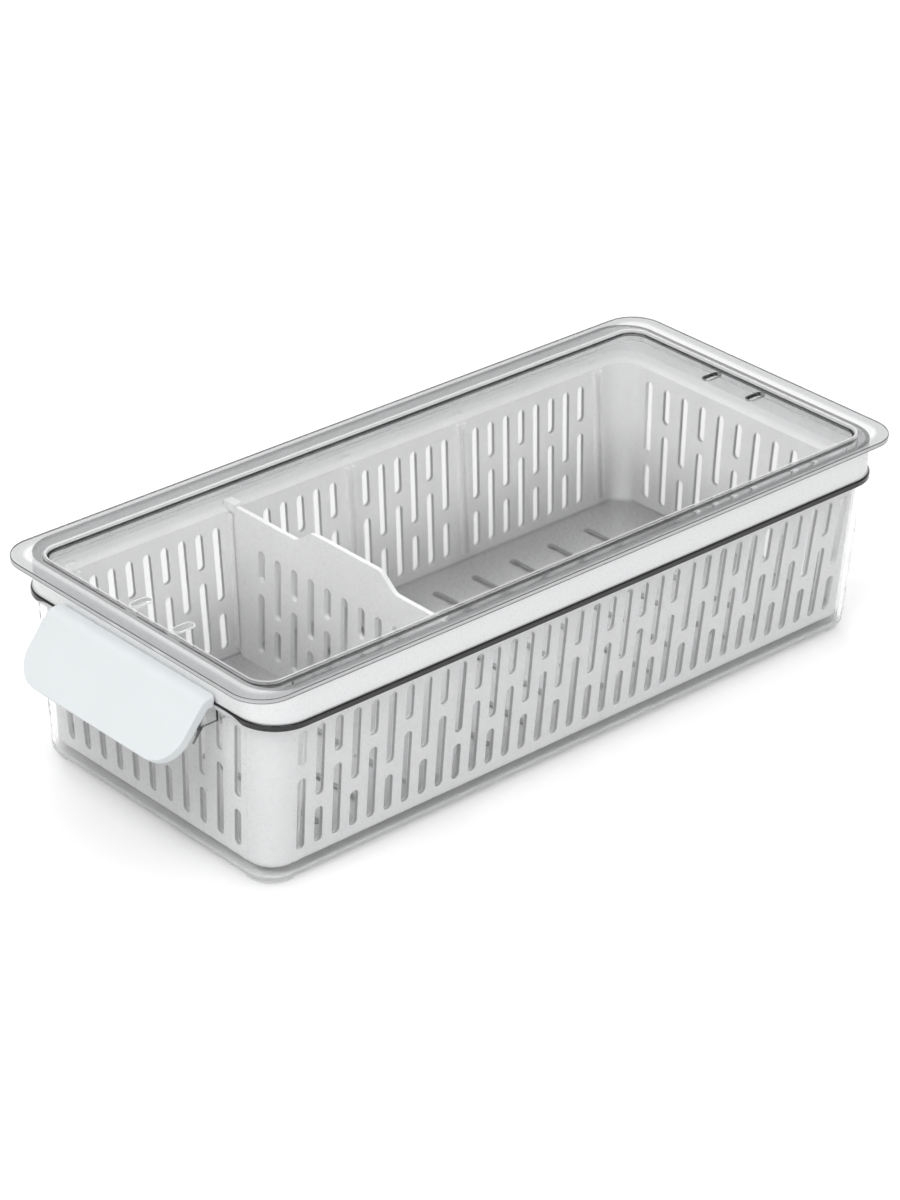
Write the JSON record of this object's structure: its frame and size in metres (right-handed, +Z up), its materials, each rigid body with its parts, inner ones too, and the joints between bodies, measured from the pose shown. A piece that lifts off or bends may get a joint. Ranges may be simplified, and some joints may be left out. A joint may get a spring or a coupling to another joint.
{
  "type": "produce storage container",
  "caption": "Clear fridge bin with a soft white front handle, holding a slotted white lift-out basket with a slotted divider, under a clear vented lid.",
  "frame": {"origin": "centre of the whole object's footprint, handle included, on the plane its feet rest on", "axes": "+X to the right, +Y to the back along the length, +Z up; the handle is at the -Y end"},
  "size_m": [0.17, 0.3933, 0.0957],
  "materials": {
    "clear_plastic": "polished",
    "white_plastic": "glossy",
    "soft_white": "soft matte"
  },
  "bodies": {
    "bin": {"bin": "clear_plastic", "handle_cover": "soft_white"},
    "basket": {"basket": "white_plastic"},
    "divider": {"divider": "white_plastic"},
    "lid": {"lid": "clear_plastic"}
  },
  "joints": [
    {"name": "basket_lift", "type": "slide", "parent": "bin", "child": "basket", "axis": [0, 0, 1], "range_m": [0, 0.1]},
    {"name": "lid_lift", "type": "slide", "parent": "basket", "child": "lid", "axis": [0, 0, 1], "range_m": [0, 0.12]},
    {"name": "divider_lift", "type": "slide", "parent": "basket", "child": "divider", "axis": [0, 0, 1], "range_m": [0, 0.09]}
  ],
  "couplings": [
    {"joint": "divider_lift", "follows": "lid_lift", "ratio": 0.75}
  ]
}
